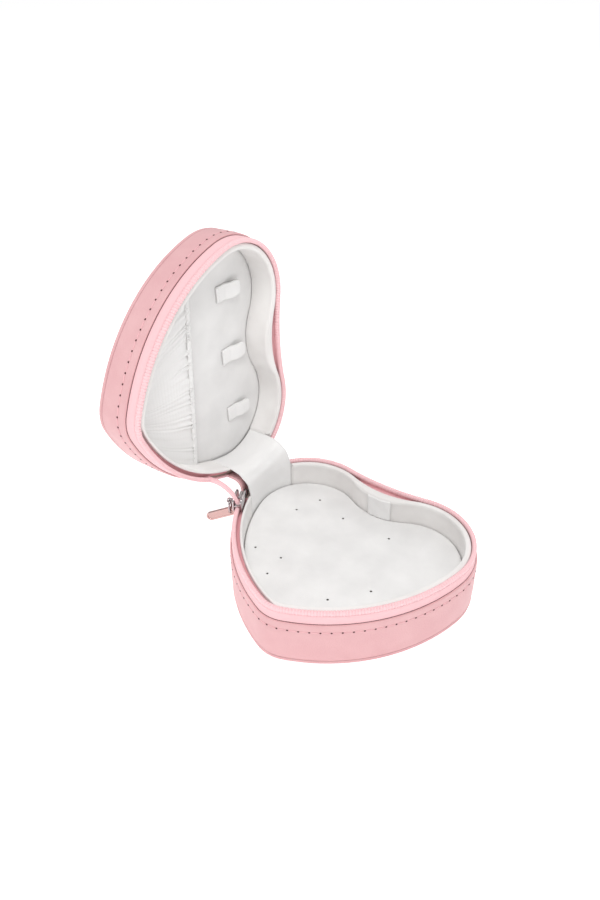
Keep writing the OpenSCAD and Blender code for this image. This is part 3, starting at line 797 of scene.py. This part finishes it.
def zip_tail():
    """The lid's row of coil and its tape, bending from the lid's edge into the parked slider."""
    a0, a1 = SLIDER_A + math.radians(2.6), LID_COIL_A + math.radians(0.6)
    length, coil_z = 15.0, PART_Z + PARTING / 2 + COIL_H / 2
    axis = Vector((HINGE_X, 0, PART_Z))

    def opened(w, inset, z):
        """A point of the closed zip, turned by the share w of the lid's opening."""
        a = a0 + (a1 - a0) * w
        r = SIDE_R - inset
        p = Vector((-SIDE.x + r * math.cos(a), SIDE.y + r * math.sin(a), z))
        return axis + Matrix.Rotation(-OPEN * w, 3, "Y") @ (p - axis)

    def coil_point(u, v):
        w = 2 * math.pi * v
        rib = 0.62 + 0.38 * abs(math.cos(math.pi * u * round(length / COIL_PITCH))) ** 0.6
        a, b = (math.copysign(abs(f) ** 0.75, f) for f in (math.cos(w), math.sin(w)))
        share = u * u * (3 - 2 * u)
        return opened(share, COIL_IN + COIL_W / 2 + a * rib, coil_z + b * (0.3 + 0.7 * rib) * COIL_H / 2)

    def tape_point(u, v):
        share = u * u * (3 - 2 * u)
        return opened(share, 1.3, coil_z + 0.6 + (3.4 + 2.6 * u) * v)

    bm = bmesh.new()
    grid(bm, 6 * round(length / COIL_PITCH), 12, coil_point, (length, 6))
    fill_open_edges(bm)
    coil = piece("zip_tail_coil", bm, COIL, None, (), sharp=70)
    bm = bmesh.new()
    grid(bm, 40, 6, tape_point, (length, 3.4))
    tape = piece("zip_tail_tape", bm, TAPE, None, (), thick=0.45)
    start, end = opened(0, 1.9, coil_z), opened(1, 1.9, coil_z)
    for obj in (coil, tape):
        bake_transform(obj)


strip("hinge_outer_leather", LEATHER, "hinge_leather", inset=0.5, base_foot=BASE_H - 1.5,
      bend=1.4, lid_foot=LID_H - 1.5, thick=0.9, crease=0.0, trim=0.05)
strap = strip("hinge_inner_strap", SATIN, "hinge_strap", inset=5.1, base_foot=FLOOR_Z + 0.1,
              bend=3.5, lid_foot=LID_PANEL_Z - 0.2, thick=0.45, crease=0.16, trim=0.15)


# ---------- inside the lid ----------

def lid_panel():
    """Padded velvet panel of the lid with a rounded edge."""
    c, d = LEATHER_CLEFT, LINING_CLEFT
    profile = rounded([(FILL_IN, 3.1, c), (3.2, 3.1, c), (3.2, 7.2, c), (LINING_IN, 7.3, d),
                       (6.4, 7.85, d), (8.4, 8.12, d), (FILL_IN, LID_PANEL_Z, d)], 0.8)
    obj = piece("lid_panel_padded", sweep(profile, solid=True), VELVET, "lid",
                ["lid_panel", "lid_padding"], True)


HOOK_Y, HOOK_L, HOOK_W, HOOK_LIFT, HOOK_CORNER = 17.0, 13.5, 7.0, 1.5, 2.4


def hook(number, x0):
    """Soft satin tab sewn down at the tip end, with a rounded free end that stands off the panel."""
    def place(u, v):
        s = HOOK_L * v
        left = HOOK_L - s
        half = HOOK_W / 2
        if left < HOOK_CORNER:
            half += -HOOK_CORNER + math.sqrt(max(HOOK_CORNER**2 - (HOOK_CORNER - left) ** 2, 0))
        rise = min(max((s - 4.5) / 4.5, 0), 1)
        z = LID_PANEL_Z + 0.5 + HOOK_LIFT * rise * rise * (3 - 2 * rise)
        z += 0.12 * math.sin(math.pi * u) + 0.08 * math.sin(5 * v + number)
        return Vector((x0 + (2 * u - 1) * half, HOOK_Y + s, z))

    bm = bmesh.new()
    grid(bm, 14, 40, place, (HOOK_W, HOOK_L))
    name = f"necklace_hook_{number}"
    obj = piece(name + "_satin", bm, SATIN, "lid", [name], True, thick=0.75)
    seam = bmesh.new()
    for k in range(4):
        place_at = Matrix.Translation((x0 - 2.4 + 1.6 * k, HOOK_Y + 1.3, LID_PANEL_Z + 0.95))
        blob(seam, place_at, (1.2, 0.3, 0.25), 0.6)
    piece(f"{name}_stitches", seam, WHITE_THREAD, "lid", in_lid=True)


POCKET_IN = 4.6
POCKET_Y, POCKET_SLANT, POCKET_LAP = -3.4, 0.09, 1.4


def pocket_edge(x):
    """Y of the pocket's elastic edge, which sags in the middle and slants a little."""
    return POCKET_Y + POCKET_SLANT * x - 1.2 * math.cos(math.pi * x / 100)


def pleat(u):
    """Angle of the gathers' wave at a share of the width; its pitch is uneven."""
    drift = 0.55 * math.sin(17 * u) + 0.4 * math.sin(41 * u + 1) + 0.2 * math.sin(97 * u)
    return 2 * math.pi * (24 * u + drift)


def uneven(u, v):
    """Slow unevenness of gathered cloth, from -1 to 1."""
    return (0.5 * math.sin(23 * u + 5 * v + 1) + 0.3 * math.sin(51 * u - 7 * v)
            + 0.2 * math.sin(9 * v + 70 * u))


def roof(u):
    """Height of the pocket's cloth, which stands off the panel and comes down at both sides."""
    return LID_PANEL_Z + 0.35 + 1.55 * math.sin(math.pi * min(max(u, 0), 1)) ** 0.45


def elastic():
    """Puckered casing of the pocket's elastic edge."""
    wide = 2.2

    def place(u, v):
        x = (2 * u - 1) * half_width(-4, POCKET_IN)
        pucker = math.sin(2.1 * pleat(u) + 2 * v) * (0.12 + 0.4 * v) * (1 + 0.7 * uneven(u, v))
        z = roof(u) + 0.2 + 0.15 * math.sin(math.pi * v) + pucker * 0.45
        return Vector((x, pocket_edge(x) + 0.2 - wide * v + 0.15 * math.sin(pleat(u)), z))

    bm = bmesh.new()
    grid(bm, 420, 10, place, (97, wide))
    return piece("pocket_elastic_casing", bm, SATIN, "lid", ["pocket_elastic"], True, thick=0.6)


def pocket():
    """Gathered satin pocket: pleats run from the elastic and fade towards the tip."""
    y_start, y_end = POCKET_Y - POCKET_LAP, TIP.y - (TIP_R - POCKET_IN)

    def place(u, v):
        y = y_start + (y_end - y_start) * v
        x = (2 * u - 1) * half_width(y, POCKET_IN)
        fade, seam = (1 - v) ** 1.3, min(8 * (1 - v), 1)
        low = LID_PANEL_Z + 0.3
        z = low + (roof(u) - low) * (0.55 + 0.45 * fade) * seam
        crest = math.sin(pleat(u) + 2.2 * v * uneven(u, v))
        deep = 0.34 * (1 - v) ** 6 * (1 + 0.8 * uneven(u, 0)) + 0.035
        folds = deep * crest + 0.3 * (0.4 + 0.6 * fade) * uneven(u, v)
        z += folds * math.sin(math.pi * u) ** 0.5 * seam
        shift = (pocket_edge(x) - POCKET_Y) * (1 - v)
        return Vector((x, y + shift, z))

    bm = bmesh.new()
    grid(bm, 300, 60, place, (97, 42))
    obj = piece("pocket_gathered_satin", bm, SATIN, "lid", ["pocket_satin"], True, thick=0.3)
    elastic()


zip_tail()
lid_panel()
for number, x0 in ((1, -29), (2, 0), (3, 29)):
    hook(number, x0)
pocket()


# ---------- zip slider ----------

# Local axes at the parked slider: X outwards, Y along the zip towards the tip, Z up
AT_SLIDER = (Matrix.Translation((-SIDE.x, SIDE.y, 0)) @ Matrix.Rotation(SLIDER_A, 4, "Z")
             @ Matrix.Translation((SIDE_R, 0, 0)))


def at(x, y, z):
    """A place in the slider's local axes."""
    return AT_SLIDER @ Matrix.Translation((x, y, z))


def slider_body():
    """Two rounded plates, their turned-in flanges and the wedge between them."""
    outer, inner = -0.6, -3.2
    bm = bmesh.new()
    plate = (SLIDER_PLATE, SLIDER_L, 2 * SLIDER_HALF_H)
    box(bm, at(outer + SLIDER_PLATE / 2, 0, PART_Z), plate, 0.3, 2.0)
    box(bm, at(inner - SLIDER_PLATE / 2, 0, PART_Z), plate, 0.3, 2.0)
    for side in (-1, 1):
        box(bm, at(-2.6, 0, PART_Z + side * (SLIDER_HALF_H - 0.27)), (1.2, SLIDER_L - 4, 0.5), 0.12)
    box(bm, at((outer + inner) / 2, SLIDER_L / 2 - 1.1, PART_Z), (outer - inner + 0.3, 1.9, 0.5), 0.1)
    piece("slider_body_plated", bm, CHROME, "zip_slider", ["slider_body"], sharp=30)


def slider_lug():
    """Loop on the outer plate that the link ring hangs in."""
    bm = bmesh.new()

    def path(u):
        w = 2 * math.pi * u
        out = Vector((math.cos(w), 0, math.sin(w)))
        return Vector((LUG_X, 0, LUG_Z)) + out * 1.12, out, Vector((0, 1.45, 0))

    tube(bm, path, 32, 0.4)
    for v in bm.verts:
        v.co = AT_SLIDER @ v.co
    box(bm, at(0.85, 0, LUG_Z), (1.2, 1.1, 2.0), 0.2)
    piece("slider_lug_plated", bm, CHROME, "zip_slider", ["slider_lug"], sharp=30)


def link_ring():
    """Long wire ring from the lug down to the pull tab's eye."""
    straight = RING_DROP - 2 * RING_R
    turn = math.pi * RING_R
    total = 2 * (turn + straight)
    top = LUG_Z - RING_R

    def path(u):
        s = u * total
        if s < turn:
            w = s / RING_R
            centre, out = Vector((0, 0, top)), Vector((0, math.cos(w), math.sin(w)))
        elif s < turn + straight:
            centre, out = Vector((0, 0, top - (s - turn))), Vector((0, -1, 0))
        elif s < 2 * turn + straight:
            w = math.pi + (s - turn - straight) / RING_R
            centre, out = Vector((0, 0, top - straight)), Vector((0, math.cos(w), math.sin(w)))
        else:
            centre = Vector((0, 0, top - straight + (s - 2 * turn - straight)))
            out = Vector((0, 1, 0))
        return Vector((LUG_X, 0, 0)) + centre + out * RING_R, out, Vector((1, 0, 0))

    bm = bmesh.new()
    tube(bm, path, 72, WIRE_R, 14)
    for v in bm.verts:
        v.co = AT_SLIDER @ v.co
    piece("link_ring_wire", bm, CHROME, "link_ring", ["link_ring"])


def pull_tab():
    """Flat rounded tab with an eye and a plain recess on each face."""
    far, round_r, high = PULL_L - PULL_W, PULL_W / 2, PULL_T / 2

    def edge(u, inset):
        """A point of the tab's outline, from the eye's end round the far end and back."""
        r, s = round_r - inset, u * 2 * (far + math.pi * round_r)
        if s < far:
            return Vector((s, r))
        s -= far
        if s < math.pi * round_r:
            a = math.pi / 2 - s / round_r
            return Vector((far + r * math.cos(a), r * math.sin(a)))
        s -= math.pi * round_r
        if s < far:
            return Vector((far - s, -r))
        a = -math.pi / 2 - (s - far) / round_r
        return Vector((r * math.cos(a), r * math.sin(a)))

    # Across one face: (radius round the eye or inset from the rim, which of the two, height)
    face = [(0.75, "eye", high - 0.15), (0.88, "eye", high), (1.0, "eye", high),
            (1.08, "eye", high - 0.22), (0.88, "rim", high - 0.22), (0.75, "rim", high),
            (0.22, "rim", high), (0.06, "rim", high - 0.06), (0.0, "rim", high - 0.22)]
    loops = face + [(d, kind, -y) for d, kind, y in reversed(face)] + face[:1]
    place_at = at(LUG_X, 0, LUG_Z - RING_DROP) @ Matrix.Rotation(PULL_DROOP, 4, "Y")

    def place(u, v):
        d, kind, y = loops[round(v * (len(loops) - 1))]
        q = edge(u, d if kind == "rim" else 0)
        if kind == "eye":
            q = q.normalized() * d
        return place_at @ Vector((q.x, y, q.y))

    bm = bmesh.new()
    grid(bm, 96, len(loops) - 1, place)
    piece("pull_tab_plated", bm, PULL, "pull_tab", ["pull_tab"], sharp=30)


slider_body()
slider_lug()
link_ring()
pull_tab()


# ---------- CAD nodes that show as they are ----------

for node, finish in {"base_bottom_board": BOARD, "base_wall_board": BOARD, "earring_board": BOARD,
                     "lid_top_board": BOARD, "lid_wall_board": BOARD,
                     "base_zip_stops": CHROME, "lid_zip_stops": CHROME}.items():
    frame["nodes"][node].data.materials.clear()
    frame["nodes"][node].data.materials.append(finish)


# ---------- floor, light and camera ----------

def area_light(name, position, target, size, watts):
    data = bpy.data.lights.new(name, "AREA")
    data.shape, data.size, data.energy = "DISK", size, watts
    obj = bpy.data.objects.new(name, data)
    bpy.context.collection.objects.link(obj)
    obj.location = position
    obj.rotation_mode = "QUATERNION"
    obj.rotation_quaternion = (Vector(target) - Vector(position)).to_track_quat("-Z", "Y")


def studio():
    bm = bmesh.new()
    bmesh.ops.create_grid(bm, x_segments=1, y_segments=1, size=30)
    mesh = bpy.data.meshes.new("studio_floor")
    bm.to_mesh(mesh)
    bm.free()
    floor = bpy.data.objects.new("studio_floor", mesh)
    bpy.context.collection.objects.link(floor)
    mesh.materials.append(material("white_floor", "#ffffff", 0.9, Emission_Color=(1, 1, 1, 1),
                                   Emission_Strength=0.42, Specular_IOR_Level=0.0))
    world = bpy.data.worlds.new("studio_world")
    bpy.context.scene.world = world
    world.use_nodes = True
    world.node_tree.nodes["Background"].inputs["Color"].default_value = (1, 1, 1, 1)
    world.node_tree.nodes["Background"].inputs["Strength"].default_value = 0.56
    centre = (-0.02, 0, 0.05)
    # Place in metres, target, width in metres, watts
    area_light("key_light", (0.25, -0.4, 0.95), centre, 0.45, 4.9)
    area_light("fill_light", (-0.75, -0.35, 0.6), centre, 0.7, 1.5)
    area_light("rim_light", (0.1, 0.8, 0.7), centre, 0.6, 2.0)


def camera():
    bpy.context.scene.view_settings.view_transform = "Standard"
    data = bpy.data.cameras.new("camera")
    data.lens, data.sensor_width = 31.9, 36
    data.clip_start, data.clip_end = 0.01, 20
    obj = bpy.data.objects.new("camera", data)
    bpy.context.collection.objects.link(obj)
    position, target = Vector((0.1334, -0.2124, 0.2530)), Vector((-0.0298, 0.0180, 0.0508))
    obj.location = position
    obj.rotation_mode = "QUATERNION"
    turn = (target - position).to_track_quat("-Z", "Y")
    obj.rotation_quaternion = turn @ Matrix.Rotation(math.radians(-0.39), 3, "Z").to_quaternion()
    bpy.context.scene.camera = obj


studio()
camera()
